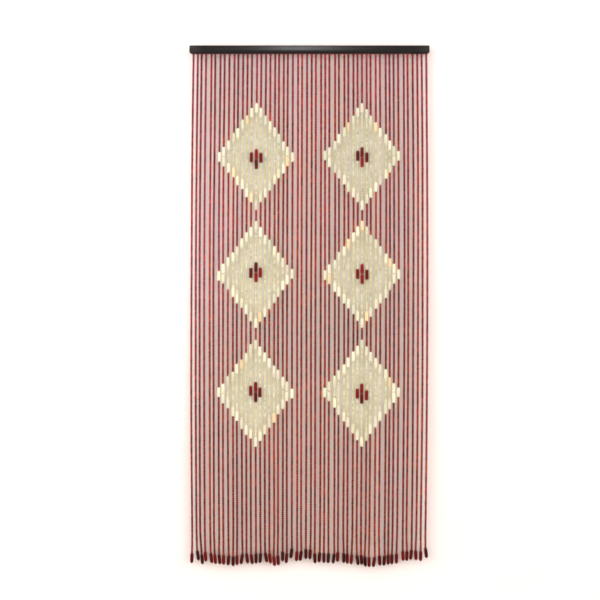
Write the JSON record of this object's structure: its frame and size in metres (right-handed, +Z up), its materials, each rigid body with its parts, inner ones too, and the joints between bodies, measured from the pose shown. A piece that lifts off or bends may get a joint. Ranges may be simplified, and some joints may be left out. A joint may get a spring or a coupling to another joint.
{
  "type": "bead curtain with header bar",
  "caption": "Door curtain of wooden bead strings on a black header bar, in mixed reds with cream diamonds and long tube beads at the foot of each string.",
  "frame": {"origin": "centre of the header bar's flat back face", "axes": "+X along the bar to the viewer's right, +Y out of the bar's back towards the wall or door frame, -Y the front, +Z up"},
  "size_m": [0.9, 0.02, 1.954],
  "materials": {
    "black_paint": "satin black paint on wood, rubbed at the edges",
    "red_beads": "wood stained in mixed dark reds and browns, satin",
    "cream_beads": "pale natural wood, satin",
    "thread": "twisted brown thread, matte"
  },
  "bodies": {
    "root": {"header_bar": "black_paint", "bead_strings": "red_beads"}
  },
  "joints": []
}
